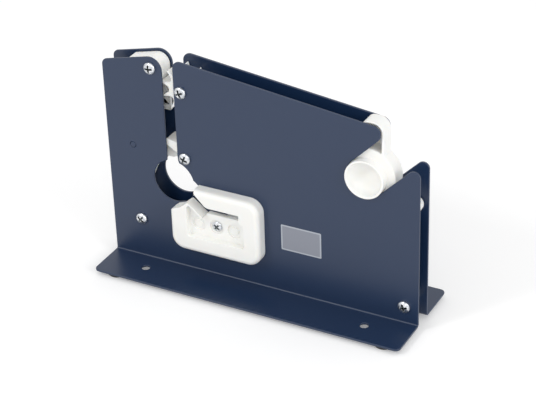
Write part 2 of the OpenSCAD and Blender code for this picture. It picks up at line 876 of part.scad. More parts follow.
module panel_outline() {
    rib_side = rib_t * side(-90 - lip_angle);
    rib_foot = rib_end + rib_side;
    rib_top = meet(rib_foot, -lip_angle, [panel_corner[0] + 1.9, 0], 90);
    polygon(rounded([
        [panel_corner[0], panel_corner[1], 1.5],
        [panel_corner[0], rib_top[1] - 1.2, 1],
        [rib_top[0], rib_top[1], 0.8],
        [rib_foot[0], rib_foot[1], 0],
        [rib_end[0] + 0.4, rib_end[1] + cut, 0],
        [rib_end[0] + 1.2, guide_bottom + cut, 0],
        [guide_end_x + 3, guide_bottom + 0.02, 0],
        [guide_end_x + 3, panel_corner[1], 1.5]]));
}

// Two moulded ring marks beside the screw's seat
module ring_marks() {
    floor_y = guard_face_y + panel_depth;
    for (x = [-ring_pitch, ring_pitch])
        difference() {
            across(guard_screw_at + [x, 0], guard_seat_d / 2, floor_y - cut, floor_y + 0.4);
            across(guard_screw_at + [x, 0], guard_seat_d * 0.32, floor_y - 2 * cut, floor_y + cut);
        }
}

module trim_guard() {
    seat_y = guard_face_y + panel_depth + guard_seat_depth;
    color(ivory)
        difference() {
            guard_block();
            stand(guard_face_y - cut, cut - outer_y)
                guide_cut();
            stand(guard_face_y - cut, guard_face_y + panel_depth)
                panel_outline();
            across(guard_screw_at, screw_d / 2 + hole_gap, guard_face_y - cut, cut - outer_y);
            across(guard_screw_at, guard_seat_d / 2, guard_face_y - cut, seat_y);
            ring_marks();
            blade_pocket();
        }
}

// The blade lies in a pocket in the guard's back and crosses the guide slot
blade_at = [guide_end_x - 6.1, guide_bottom + guide_w / 2];
blade_lean = 22;

module blade_outline(gap) {
    translate(blade_at)
        rotate(-blade_lean)
            square([blade_w + 2 * gap, blade_len + 2 * gap], center = true);
}

module blade_pocket() {
    stand(-outer_y - blade_t - 0.05, cut - outer_y)
        blade_outline(0.15);
}

module trim_blade() {
    bevel_w = 2;
    color(steel)
        difference() {
            stand(-outer_y - blade_t, -outer_y)
                blade_outline(0);
            translate([blade_at[0], -outer_y - blade_t, deck_z + blade_at[1]])
                rotate([0, blade_lean, 0])
                    translate([-blade_w / 2, 0, 0])
                        rotate([0, 0, -atan(blade_t * 0.8 / bevel_w)])
                            translate([-cut, -2 * blade_t, -blade_len])
                                cube([bevel_w * 2, 2 * blade_t, 2 * blade_len]);
        }
}

module guard_screw() {
    seat_y = guard_face_y + panel_depth + guard_seat_depth;
    color(zinc)
        translate([guard_screw_at[0], seat_y, deck_z + guard_screw_at[1]])
            pan_screw(nut_h + 1 - half_gap - seat_y, guard_head_d, guard_head_h);
}

module guard_nut() {
    color(zinc)
        difference() {
            translate([guard_screw_at[0], nut_h - half_gap, deck_z + guard_screw_at[1]])
                rotate([90, 0, 0])
                    cylinder(d = 8.1, h = nut_h, $fn = 6);
            across(guard_screw_at, screw_d / 2 + hole_gap / 3, -half_gap - cut, nut_h + cut);
        }
}

// ---- feet ----

module rubber_feet() {
    color(black_rubber)
        for (x = [-1, 1])
            for (y = [-1, 1])
                translate([x * (half_len - foot_end), y * (outer_y + flange_w - foot_edge), 0]) {
                    cylinder(d1 = foot_d - 1.5, d2 = foot_d, h = 1, $fn = 48);
                    translate([0, 0, 1])
                        cylinder(d = foot_d, h = foot_h - 1);
                }
}

front_plate();
rear_plate();
sleeve(arm_at);  // arm_sleeve
sleeve(wheel_at);  // wheel_sleeve
sleeve(cutter_at);  // cutter_sleeve
sleeve(shoe_at);  // shoe_sleeve
sleeve(tail_at);  // tail_sleeve
front_screws();
rear_screws();
spring_post();
stop_post();
pressure_arm();
arm_spring();
feed_wheel();
cutter_lever();
tape_knife();
knife_rivets();
cutter_spring();
neck_shoe();
shoe_spring();
tape_hub();
trim_guard();
trim_blade();
guard_screw();
guard_nut();
rubber_feet();
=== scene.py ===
import json
import math

import bmesh
import bpy
from mathutils import Matrix, Vector

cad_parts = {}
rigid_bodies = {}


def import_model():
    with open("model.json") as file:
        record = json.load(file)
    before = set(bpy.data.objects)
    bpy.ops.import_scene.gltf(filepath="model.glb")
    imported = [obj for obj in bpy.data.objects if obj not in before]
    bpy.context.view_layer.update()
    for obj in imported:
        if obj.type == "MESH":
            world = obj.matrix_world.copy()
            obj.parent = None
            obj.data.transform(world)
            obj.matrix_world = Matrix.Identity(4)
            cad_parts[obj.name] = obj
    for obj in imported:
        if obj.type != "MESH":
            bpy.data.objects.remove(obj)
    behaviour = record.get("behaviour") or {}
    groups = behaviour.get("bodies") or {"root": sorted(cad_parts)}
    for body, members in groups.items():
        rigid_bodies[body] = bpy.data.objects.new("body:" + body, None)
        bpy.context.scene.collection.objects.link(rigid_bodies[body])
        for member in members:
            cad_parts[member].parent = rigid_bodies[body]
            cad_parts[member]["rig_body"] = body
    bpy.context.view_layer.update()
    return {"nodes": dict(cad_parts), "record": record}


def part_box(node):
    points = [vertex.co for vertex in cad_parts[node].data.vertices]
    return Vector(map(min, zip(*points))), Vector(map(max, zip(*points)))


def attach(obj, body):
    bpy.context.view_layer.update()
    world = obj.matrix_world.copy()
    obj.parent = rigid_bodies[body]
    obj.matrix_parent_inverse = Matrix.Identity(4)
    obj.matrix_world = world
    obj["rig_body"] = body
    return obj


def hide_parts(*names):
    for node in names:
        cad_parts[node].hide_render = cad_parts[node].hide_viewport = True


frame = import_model()

# ---- camera ----
# A long lens looks down on the front plate from the hub's side. Its place and turn were
# worked out from the edges of both plates in the photograph, which is 536 px wide.
mm = 0.001
photo_width_px = 536
focal_px = 1790.3
sensor_width_mm = 36
nearest_m, farthest_m = 0.05, 20
camera_place = Vector((465.1, -842.9, 623.5)) * mm
azimuth, elevation, roll = math.radians(28.76), math.radians(30.24), math.radians(-1.98)


def placed(name, data):
    """A new object in the scene for a mesh, a curve, a lamp or a camera."""
    made = bpy.data.objects.new(name, data)
    bpy.context.scene.collection.objects.link(made)
    return made


camera = placed("camera", bpy.data.cameras.new("camera"))
bpy.context.scene.camera = camera
camera.data.sensor_width = sensor_width_mm
camera.data.lens = focal_px / photo_width_px * sensor_width_mm
camera.data.clip_start, camera.data.clip_end = nearest_m, farthest_m
to_camera = Vector((math.sin(azimuth) * math.cos(elevation),
                    -math.cos(azimuth) * math.cos(elevation), math.sin(elevation)))
level = (-to_camera).cross(Vector((0, 0, 1))).normalized()
upward = level.cross(-to_camera)
right = level * math.cos(roll) + upward * math.sin(roll)
top = upward * math.cos(roll) - level * math.sin(roll)
camera_turn = Matrix((right, top, to_camera)).transposed()
camera.matrix_world = Matrix.Translation(camera_place) @ camera_turn.to_4x4()

# ---- side plates ----
# Two mirror-image plates of 1.5 mm sheet steel, cut, bent at the foot and powder coated in
# slate navy. The coat rounds the cut edges and dries with a fine orange peel.
coat_edge_r = 0.35 * mm
coat_blue = (0.0055, 0.0205, 0.062, 1)
coat_slate = (0.0080, 0.0250, 0.069, 1)
coat_cloud, coat_peel, coat_grit = 55 * mm, 1.1 * mm, 0.35 * mm
coat_peel_depth = 0.05 * mm
same_point = 0.002 * mm           # points nearer to each other than this are one
same_plane = math.radians(0.5)    # faces that meet at less than this are one
sharp_deg = 38                    # edges sharper than this are rounded


class Link:
    """A socket that gives a value. Its operators add the Math node that they stand for."""

    def __init__(self, nodes, made, output):
        self.nodes, self.made = nodes, made
        self.socket = made.outputs[output] if len(made.outputs) else None

    def named(self, output):
        return Link(self.nodes, self.made, output)

    def maths(self, operation, *values):
        return self.nodes.node("ShaderNodeMath", {"operation": operation}, dict(enumerate(values)))

    def __add__(self, other):
        return self.maths("ADD", self, other)

    def __sub__(self, other):
        return self.maths("SUBTRACT", self, other)

    def __rsub__(self, other):
        return self.maths("SUBTRACT", other, self)

    def __mul__(self, other):
        return self.maths("MULTIPLY", self, other)

    def __truediv__(self, other):
        return self.maths("DIVIDE", self, other)

    def __abs__(self):
        return self.maths("ABSOLUTE", self)

    __radd__ = __add__

    def between(self, low, high):
        """0 at low and 1 at high, with a soft step from one to the other."""
        return self.nodes.node("ShaderNodeMapRange", {"interpolation_type": "SMOOTHSTEP"},
                               {"Value": self, "From Min": low, "From Max": high})


class Nodes:
    """A node tree that the script fills. node() sets a node's settings first, then its sockets."""

    def __init__(self, tree):
        self.tree = tree

    def node(self, kind, settings=None, sockets=None, output=0):
        made = self.tree.nodes.new(kind)
        for name, value in (settings or {}).items():
            setattr(made, name, value)
        for name, value in (sockets or {}).items():
            if isinstance(value, Link):
                self.tree.links.new(value.socket, made.inputs[name])
            else:
                made.inputs[name].default_value = value
        return Link(self, made, output)


class Finish(Nodes):
    """A procedural finish. Its patterns lie on Object coordinates, so they keep their real size."""

    def __init__(self, name):
        self.material = bpy.data.materials.new(name)
        self.material.use_nodes = True
        super().__init__(self.material.node_tree)
        self.tree.nodes.clear()
        self.place = self.node("ShaderNodeTexCoord", output="Object")

    def speckle(self, size, detail, stretch=(1, 1, 1)):
        """Noise from 0 to 1 whose blotches are about size across, drawn out along an axis."""
        spread = self.node("ShaderNodeMapping", {},
                           {"Vector": self.place, "Scale": Vector(stretch)})
        return self.node("ShaderNodeTexNoise", {"noise_dimensions": "3D"},
                         {"Vector": spread, "Scale": 1 / size, "Detail": detail}, "Fac")

    def blend(self, amount, first, second):
        """A colour from first to second. The Mix node's colours are inputs 6 and 7 and output 2."""
        return self.node("ShaderNodeMix", {"data_type": "RGBA"},
                         {0: amount, 6: first, 7: second}, 2)

    def relief(self, height, depth, strength):
        return self.node("ShaderNodeBump", {},
                         {"Height": height, "Distance": depth, "Strength": strength})

    def shown(self, **sockets):
        """Ends the tree in a Principled shader. Names of sockets have _ for a space."""
        values = {name.replace("_", " "): value for name, value in sockets.items()}
        shader = self.node("ShaderNodeBsdfPrincipled", {}, values)
        self.node("ShaderNodeOutputMaterial", {}, {"Surface": shader})
        return self.material


def powder_coat():
    finish = Finish("powder_coat")
    cloud = finish.speckle(coat_cloud, 3)
    peel = finish.speckle(coat_peel, 1)
    grit = finish.speckle(coat_grit, 1)
    return finish.shown(
        Base_Color=finish.blend(cloud * 0.7 + grit * 0.3, coat_blue, coat_slate),
        Roughness=0.30 + cloud * 0.05 + grit * 0.08,
        Specular_IOR_Level=0.62,
        Normal=finish.relief(peel * 0.7 + grit * 0.3, coat_peel_depth, 0.35),
    )


def mesh_from(shape, name):
    mesh = bpy.data.meshes.new(name)
    shape.to_mesh(mesh)
    shape.free()
    return mesh


def clean_copy(node, name):
    """A node's own solid without doubled points or seams across its flat faces."""
    solid = bmesh.new()
    solid.from_mesh(frame["nodes"][node].data)
    bmesh.ops.remove_doubles(solid, verts=solid.verts, dist=same_point)
    bmesh.ops.dissolve_limit(solid, angle_limit=same_plane, verts=solid.verts, edges=solid.edges)
    return mesh_from(solid, name)


def made_object(name, mesh, material):
    """A new object for a mesh that is already in its place, with every face smooth."""
    mesh.materials.clear()
    mesh.materials.append(material)
    mesh.shade_smooth()
    return placed(name, mesh)


def rounded_edges(piece, radius, steps=2, angle=sharp_deg):
    """A small radius on each sharp edge, and shading that keeps the flat faces flat."""
    bevel = piece.modifiers.new("rounded edges", "BEVEL")
    bevel.width = radius
    bevel.segments = steps
    bevel.limit_method = "ANGLE"
    bevel.angle_limit = math.radians(angle)
    bevel.use_clamp_overlap = False
    flat = piece.modifiers.new("flat faces", "WEIGHTED_NORMAL")
    flat.weight = 80
    flat.keep_sharp = True


def in_place_of(piece, node):
    """The piece stands for a CAD node: it rides on that node's body and hides it."""
    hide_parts(node)
    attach(piece, frame["nodes"][node]["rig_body"])


def eased(node, material, radius, steps=2):
    """A node's own solid with its sharp edges rounded, as moulding or paint leaves them."""
    piece = made_object(node + "_eased", clean_copy(node, node + "_eased"), material)
    rounded_edges(piece, radius, steps)
    in_place_of(piece, node)


coat = powder_coat()
for plate in ("front_plate", "rear_plate"):
    eased(plate, coat, coat_edge_r)

# ---- spacer sleeves ----
# Turned steel sleeves, zinc plated, that hold the plates 12 mm apart. Four of them are the
# pivots of the arm, wheel, cutter and shoe, and the screws go in their ends.
sleeves = ("arm_sleeve", "wheel_sleeve", "cutter_sleeve", "shoe_sleeve", "tail_sleeve")
sleeve_edge_r = 0.3 * mm
zinc_bright = (0.84, 0.85, 0.87, 1)
zinc_dull = (0.46, 0.49, 0.53, 1)
# painted shade: the screws' cross recesses take this dark colour in place of the shade that falls
# in them
painted_recess_shade = (0.10, 0.115, 0.12, 1)
zinc_bloom, zinc_scuff = 1.4 * mm, 0.25 * mm
zinc_scuff_depth = 0.01 * mm
bloom_from, bloom_to = 0.36, 0.66


def zinc_plate():
    finish = Finish("zinc_plate")
    bloom = finish.speckle(zinc_bloom, 3).between(bloom_from, bloom_to)
    scuff = finish.speckle(zinc_scuff, 2)
    plated = finish.blend(bloom, zinc_bright, zinc_dull)
    # faces marked as recess in the screws' cross get the dark colour, which is painted shade
    recess = finish.node("ShaderNodeAttribute", {"attribute_name": "recess"}, output="Fac")
    return finish.shown(
        Base_Color=finish.blend(recess, plated, painted_recess_shade),
        Metallic=1.0,
        Roughness=0.20 + bloom * 0.10 + scuff * 0.08,
        Normal=finish.relief(scuff, zinc_scuff_depth, 0.5),
    )


zinc = zinc_plate()
for sleeve in sleeves:
    eased(sleeve, zinc, sleeve_edge_r)

# ---- spring post and stop post ----
# Two steel posts riveted in the plates. The spring post's ends are painted over with the
# plates and show as shallow dimples; the stop post is bare, turned steel.
spring_post_edge_r = 0.35 * mm
stop_post_edge_r = 0.3 * mm
steel_bright = (0.56, 0.56, 0.58, 1)
steel_dull = (0.46, 0.47, 0.49, 1)
steel_tint, steel_lines = 3 * mm, 0.12 * mm
steel_line_stretch = (0.2, 6, 0.2)
steel_line_depth = 0.01 * mm


def turned_steel():
    finish = Finish("turned_steel")
    lines = finish.speckle(steel_lines, 2, steel_line_stretch)
    tint = finish.speckle(steel_tint, 2)
    return finish.shown(
        Base_Color=finish.blend(tint, steel_bright, steel_dull),
        Metallic=1.0,
        Roughness=0.30 + lines * 0.16,
        Normal=finish.relief(lines, steel_line_depth, 0.4),
    )


steel = turned_steel()
eased("spring_post", coat, spring_post_edge_r)
eased("stop_post", steel, stop_post_edge_r)

# ---- pressure arm ----
# A shell moulded in off-white plastic, with satin walls, soft edges and a three-sided window
# in its rear cheek. It turns on its sleeve in the top of the tower and presses the tape
# against the wheel's teeth.
arm_edge_r = 0.4 * mm
plastic_white = (0.90, 0.90, 0.88, 1)
plastic_warm = (0.85, 0.845, 0.81, 1)
plastic_cloud, plastic_grain = 18 * mm, 0.28 * mm
plastic_grain_depth = 0.012 * mm
plastic_glow_depth = 3 * mm
# corners of the window: x and z in mm, and the corner's radius
window_corners = [(-66.8, 113.8, 0.4), (-74.5, 121.5, 0.4), (-74.5, 113.6, 0.4)]
window_from_y, window_to_y = 0.5 * mm, 8 * mm
corner_steps = 8


def moulded_plastic():
    finish = Finish("moulded_plastic")
    cloud = finish.speckle(plastic_cloud, 2)
    grain = finish.speckle(plastic_grain, 2)
    return finish.shown(
        Base_Color=finish.blend(cloud * 0.8 + grain * 0.2, plastic_white, plastic_warm),
        Roughness=0.36 + cloud * 0.06 + grain * 0.08,
        Subsurface_Weight=0.35,
        Subsurface_Radius=(1.0, 0.85, 0.7),
        Subsurface_Scale=plastic_glow_depth,
        Coat_Weight=0.12,
        Coat_Roughness=0.25,
        Normal=finish.relief(grain, plastic_grain_depth, 0.5),
    )


def rounded_path(corners):
    """A closed path of (x, z, radius) corners, with each corner drawn as an arc."""
    path = []
    for index, (x, z, radius) in enumerate(corners):
        here = Vector((x, z))
        before = (Vector(corners[index - 1][:2]) - here).normalized()
        after = (Vector(corners[(index + 1) % len(corners)][:2]) - here).normalized()
        if radius == 0:
            path.append((x, z))
            continue
        half = before.angle(after) / 2
        centre = here + (before + after).normalized() * radius / math.sin(half)
        first = here + before * radius / math.tan(half) - centre
        last = here + after * radius / math.tan(half) - centre
        turn = first.angle_signed(last)
        for step in range(corner_steps + 1):
            spoke = first.copy()
            spoke.rotate(Matrix.Rotation(-turn * step / corner_steps, 2))
            path.append(tuple(centre + spoke))
    return path


def skin(loops):
    """A closed solid through loops that have the same number of points, ends filled."""
    solid = bmesh.new()
    rings = [[solid.verts.new(spot) for spot in loop] for loop in loops]
    solid.faces.new(rings[0])
    solid.faces.new(list(reversed(rings[-1])))
    for near, far in zip(rings, rings[1:]):
        for index in range(len(near)):
            after = (index + 1) % len(near)
            solid.faces.new((near[index], far[index], far[after], near[after]))
    bmesh.ops.recalc_face_normals(solid, faces=solid.faces)
    return mesh_from(solid, "skin")


def flat_loop(path, y):
    return [Vector((x, y, z)) for x, z in path]


def prism(path, from_y, to_y):
    return skin([flat_loop(path, from_y), flat_loop(path, to_y)])


def from_mm(corners, middle=Vector((0, 0, 0))):
    """Corners written in mm from a middle, as a path in metres with its corners rounded."""
    return rounded_path([(middle.x + x * mm, middle.z + z * mm, r * mm) for x, z, r in corners])


def drawn_mesh(piece):
    """What the piece looks like once its modifiers have run, as a plain mesh."""
    drawn = piece.evaluated_get(bpy.context.evaluated_depsgraph_get())
    return bpy.data.meshes.new_from_object(drawn)


def carved(mesh, *cutters, operation="DIFFERENCE"):
    """The mesh with each closed cutter taken out of it, or joined to it, in turn."""
    block = placed("block", mesh)
    tools = [placed("cutter", cutter) for cutter in cutters]
    for tool in tools:
        carve = block.modifiers.new("carve", "BOOLEAN")
        carve.object = tool
        carve.operation = operation
        carve.solver = "EXACT"
    result = drawn_mesh(block)
    for used in tools + [block]:
        bpy.data.objects.remove(used)
    result.materials.clear()
    return result


plastic = moulded_plastic()
arm_window = prism(from_mm(window_corners), window_from_y, window_to_y)
arm_mesh = carved(clean_copy("pressure_arm", "pressure_arm_copy"), arm_window)
arm = made_object("pressure_arm_eased", arm_mesh, plastic)
rounded_edges(arm, arm_edge_r)
in_place_of(arm, "pressure_arm")

# ---- feed wheel ----
# A ten-tooth wheel of the same plastic. Its pointed teeth grip the tape's back and carry it
# to the bag's neck. The tooth form follows one rule, so the tree draws it from the count.
wheel_teeth = 10
wheel_first_tooth = math.radians(94)
wheel_tip_r = 18.3 * mm           # where the two flanks of a tooth would meet
wheel_root_r = 6.4 * mm           # where the flanks of two teeth would meet
tip_rounding = 0.55 * mm
root_rounding = 2.6 * mm
rounding_steps = 6
wheel_bore_r, wheel_bore_sides = 4.06 * mm, 48
wheel_edge_r, wheel_sharp_deg = 0.25 * mm, 50


class Pattern(Nodes):
    """A Geometry Nodes tree with named inputs, run once on an object and made a plain mesh."""

    def __init__(self, name, **inputs):
        tree = bpy.data.node_groups.new(name, "GeometryNodeTree")
        super().__init__(tree)
        for side in ("INPUT", "OUTPUT"):
            tree.interface.new_socket("Geometry", in_out=side, socket_type="NodeSocketGeometry")
        kinds = {float: "NodeSocketFloat", int: "NodeSocketInt", Vector: "NodeSocketVector",
                 bpy.types.Object: "NodeSocketObject", bpy.types.Material: "NodeSocketMaterial"}
        self.values = {}
        for title, value in inputs.items():
            made = tree.interface.new_socket(title.replace("_", " "), in_out="INPUT",
                                             socket_type=kinds[type(value)])
            self.values[made.identifier] = value
        self.entry = self.node("NodeGroupInput")

    def given(self, title):
        return self.entry.named(title)

    def joined(self, *parts):
        whole = self.node("GeometryNodeJoinGeometry")
        for part in reversed(parts):
            self.tree.links.new(part.socket, whole.made.inputs[0])
        return whole

    def baked(self, name, start, result, material):
        """Ends the tree, runs it on the start mesh and gives the result as a new piece."""
        whole = self.node("GeometryNodeRealizeInstances", {}, {0: result})
        painted = self.node("GeometryNodeSetMaterial", {},
                            {"Geometry": whole, "Material": self.given("Finish")})
        self.node("NodeGroupOutput", {}, {0: painted})
        holder = placed(name + "_start", start)
        modifier = holder.modifiers.new(name, "NODES")
        modifier.node_group = self.tree
        for identifier, value in self.values.items():
            modifier[identifier] = value
        mesh = drawn_mesh(holder)
        holder.modifiers.remove(modifier)
        bpy.data.objects.remove(holder)
        mesh.name = name
        turned_outwards(mesh)
        return made_object(name, mesh, material)


def turned_outwards(mesh):
    shell = bmesh.new()
    shell.from_mesh(mesh)
    bmesh.ops.remove_doubles(shell, verts=shell.verts, dist=same_point)
    bmesh.ops.recalc_face_normals(shell, faces=shell.faces)
    shell.to_mesh(mesh)
    shell.free()


def centre_of(node):
    low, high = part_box(node)
    return (Vector(low) + Vector(high)) / 2


def width_of(node, axis):
    low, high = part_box(node)
    return high[axis] - low[axis]


def tooth_wheel():
    tree = Pattern(
        "tooth_wheel", Teeth=wheel_teeth, Tip_radius=wheel_tip_r, Root_radius=wheel_root_r,
        Tip_rounding=tip_rounding, Root_rounding=root_rounding, Bore_radius=wheel_bore_r,
        Width=width_of("feed_wheel", 1), First_tooth=wheel_first_tooth,
        Centre=centre_of("wheel_sleeve"), Finish=plastic)
    corners = tree.given("Teeth") * 2
    ring = tree.node("GeometryNodeCurvePrimitiveCircle", {}, {"Resolution": corners, "Radius": 1.0})
    index = tree.node("GeometryNodeInputIndex")
    odd = index.maths("MODULO", index, 2)

    def in_turn(at_tip, at_root):
        return tree.given(at_tip) + (tree.given(at_root) - tree.given(at_tip)) * odd

    reach = in_turn("Tip radius", "Root radius")
    angle = index / corners * math.tau + tree.given("First tooth")
    spot = tree.node("ShaderNodeCombineXYZ", {}, {
        "X": reach * angle.maths("COSINE", angle), "Y": reach * angle.maths("SINE", angle)})
    zigzag = tree.node("GeometryNodeSetPosition", {}, {"Geometry": ring, "Position": spot})
    outline = tree.node("GeometryNodeFilletCurve", {"mode": "POLY"}, {
        "Curve": zigzag, "Count": rounding_steps,
        "Radius": in_turn("Tip rounding", "Root rounding")})
    bore = tree.node("GeometryNodeCurvePrimitiveCircle", {}, {
        "Resolution": wheel_bore_sides, "Radius": tree.given("Bore radius")})
    face = tree.node("GeometryNodeFillCurve", {"mode": "NGONS"}, {0: tree.joined(outline, bore)})
    walls = tree.node("GeometryNodeExtrudeMesh", {}, {
        "Mesh": face, "Offset Scale": tree.given("Width"), "Individual": False})
    back = tree.node("GeometryNodeFlipFaces", {}, {0: face})
    closed = tree.node("GeometryNodeMergeByDistance", {}, {
        0: tree.joined(walls, back), "Distance": same_point})
    middle = tree.node("GeometryNodeTransform", {}, {
        0: closed,
        "Translation": tree.node("ShaderNodeCombineXYZ", {}, {"Z": tree.given("Width") * -0.5})})
    stood = tree.node("GeometryNodeTransform", {}, {
        0: middle, "Rotation": Vector((math.pi / 2, 0, 0)), "Translation": tree.given("Centre")})
    return tree.baked("tooth_wheel", bpy.data.meshes.new("tooth_wheel_start"), stood, plastic)


wheel = tooth_wheel()
rounded_edges(wheel, wheel_edge_r, angle=wheel_sharp_deg)
in_place_of(wheel, "feed_wheel")

# ---- springs ----
# Drawn steel wire. Two close pull springs hook the arm and the shoe to the spring post, and
# a twist spring sits on the cutter's sleeve. Each is one bent wire with its own end loops.
wire_r = 0.35 * mm
wire_light = (0.50, 0.49, 0.47, 1)
wire_dark = (0.36, 0.36, 0.36, 1)
wire_streak, wire_streak_depth = 0.5 * mm, 0.005 * mm
coil_r, coil_pitch, coil_curls = 2 * mm, 1.5 * mm, 14
eye_r = 2.65 * mm
eye_angles = range(300, 59, -15)
points_a_curl = 20
arm_hook_from_pivot = Vector((-11.7, 0, -17)) * mm
shoe_hook_from_pivot = Vector((-11.5, 0, 12.1)) * mm
arm_spring_y, shoe_spring_y = 1 * mm, -2.4 * mm
twist_r, twist_pitch, twist_whole_turns = 4.7 * mm, 1.3 * mm, 2
twist_y = 1.9 * mm
twist_foot, twist_leg = 2 * mm, 10.4 * mm
stop_clearance = 2.65 * mm


def drawn_wire():
    finish = Finish("drawn_wire")
    streak = finish.speckle(wire_streak, 3)
    return finish.shown(
        Base_Color=finish.blend(streak, wire_light, wire_dark),
        Metallic=1.0,
        Roughness=0.24 + streak * 0.16,
        Normal=finish.relief(streak, wire_streak_depth, 0.4),
    )


def bent_wire(name, path, node):
    """A round wire along a path of points, as a closed mesh that stands for the node's wire."""
    line = bpy.data.curves.new(name, "CURVE")
    line.dimensions = "3D"
    line.bevel_depth = wire_r
    line.bevel_resolution = 2
    line.use_fill_caps = True
    spline = line.splines.new("POLY")
    spline.points.add(len(path) - 1)
    for point, spot in zip(spline.points, path):
        point.co = (*spot, 1)
    holder = placed(name + "_line", line)
    mesh = drawn_mesh(holder)
    bpy.data.objects.remove(holder)
    turned_outwards(mesh)
    piece = made_object(name, mesh, wire)
    in_place_of(piece, node)


def pull_spring(hook, post, y):
    """From the eye round the hook's pin, through the curls, to the eye round the post."""
    hook, post = Vector((hook.x, y, hook.z)), Vector((post.x, y, post.z))
    along = (post - hook).normalized()
    across = Vector((-along.z, 0, along.x))
    start = ((post - hook).length - coil_curls * coil_pitch) / 2
    turns = [math.radians(angle) for angle in eye_angles]
    eye = [(eye_r * math.cos(turn), eye_r * math.sin(turn)) for turn in turns]
    path = [hook + along * u + across * v for u, v in eye]
    for step in range(coil_curls * points_a_curl + 1):
        turn = step * math.tau / points_a_curl
        path.append(hook + along * (start + step * coil_pitch / points_a_curl)
                    + across * coil_r * math.cos(turn) + Vector((0, coil_r * math.sin(turn), 0)))
    return path + [post - along * u + across * v for u, v in reversed(eye)]


def twist_spring(pivot, stop):
    """From the leg under the stop post, round the sleeve, to the leg beside the knife."""
    to_stop = Vector((stop.x - pivot.x, 0, stop.z - pivot.z))
    along = to_stop.normalized()
    rest = to_stop + Vector((along.z, 0, -along.x)) * stop_clearance
    first = math.atan2(rest.z, rest.x) - math.acos(twist_r / rest.length)
    sweep = first + math.pi + twist_whole_turns * math.tau
    steps = round(sweep / math.tau * points_a_curl)
    path = [rest + twist_foot * along, rest]
    for step in range(steps + 1):
        turn = first - sweep * step / steps
        rise = twist_pitch * sweep / math.tau * step / steps
        path.append(Vector((twist_r * math.cos(turn), rise, twist_r * math.sin(turn))))
    path.append(path[-1] + Vector((0, 0, twist_leg)))
    return [Vector((pivot.x, twist_y, pivot.z)) + spot for spot in path]


wire = drawn_wire()
spring_post = centre_of("spring_post")
arm_hook = centre_of("arm_sleeve") + arm_hook_from_pivot
shoe_hook = centre_of("shoe_sleeve") + shoe_hook_from_pivot
bent_wire("arm_pull_spring", pull_spring(arm_hook, spring_post, arm_spring_y), "arm_spring")
bent_wire("shoe_pull_spring", pull_spring(shoe_hook, spring_post, shoe_spring_y), "shoe_spring")
bent_wire("cutter_twist_spring", twist_spring(centre_of("cutter_sleeve"), centre_of("stop_post")),
          "cutter_spring")

# ---- tape cutter ----
# The lever is moulded plastic, with a raised rib on its finger. A toothed steel knife is
# riveted in the slot of its arm and cuts the tape as the bag's neck pushes the finger down.
lever_edge_r, knife_edge_r, rivet_edge_r = 0.4 * mm, 0.05 * mm, 0.12 * mm
# corners of the rib on the finger: x and z in mm, and the corner's radius
finger_rib_corners = [(-68.8, 88.2, 0.5), (-69.3, 78.6, 0.8), (-64.5, 78.7, 0.8),
                      (-60.5, 80.3, 0.8), (-60.5, 85, 0)]
rib_from_y, rib_to_y = 0.2 * mm, 5.3 * mm

finger_rib = prism(from_mm(finger_rib_corners), rib_from_y, rib_to_y)
lever_mesh = carved(clean_copy("cutter_lever", "cutter_lever_copy"), finger_rib, operation="UNION")
lever = made_object("cutter_lever_eased", lever_mesh, plastic)
rounded_edges(lever, lever_edge_r)
in_place_of(lever, "cutter_lever")
eased("tape_knife", steel, knife_edge_r)
eased("knife_rivets", zinc, rivet_edge_r)

# ---- neck shoe ----
# The moulded shoe turns on its sleeve in the tower's foot and guides the neck. Its slanted
# face shows through the slot and at the rim of the round opening.
shoe_edge_r = 0.5 * mm
eased("neck_shoe", plastic, shoe_edge_r)

# ---- tape hub ----
# One moulding: a tube with cupped ends that rides in the slanted slot, a drum between the
# plates, and three hollow wings that hold the core of the tape.
hub_tube_r = 12.7 * mm
drum_r = 18.5 * mm
hub_half_gap = 5.4 * mm
wing_count = 3
drum_step = math.radians(8)
# corners in mm from the hub's middle with the wing upright: x, z and the corner's radius
wing_corners = [(10.6, 15.16, 2), (10.6, 37.0, 6.8), (-4.2, 37.0, 5), (-4.2, 18.02, 2)]
pocket_corners = [(9.2, 17.0, 0.6), (9.2, 35.7, 5.4), (-2.9, 35.7, 3.7), (-2.9, 19.2, 1),
                  (3, 19.1, 12)]
pocket_back_y = 4.1 * mm
cup_r, cup_depth, cup_steps = 11.3 * mm, 9 * mm, 8
cup_straight = 0.3                # share of the cup's depth before its round bottom
hub_sides = 64
hub_edge_r, hub_edge_steps, hub_sharp_deg = 0.45 * mm, 3, 35
cutter_margin = 1 * mm            # how far a cutter stands out of what it cuts


def axis_of(joint):
    """A point on the axis of the piece that turns on this joint."""
    rows = frame["record"]["behaviour"]["joints"]
    return Vector(next(row["pos_m"] for row in rows if row["name"] == joint))


def arc(x, z, radius, first, last, steps):
    turns = [math.radians(first + (last - first) * step / steps) for step in range(steps + 1)]
    return [(x + radius * math.cos(turn), z + radius * math.sin(turn)) for turn in turns]


def circle(x, z, radius, sides):
    return arc(x, z, radius, 0, 360 - 360 / sides, sides - 1)


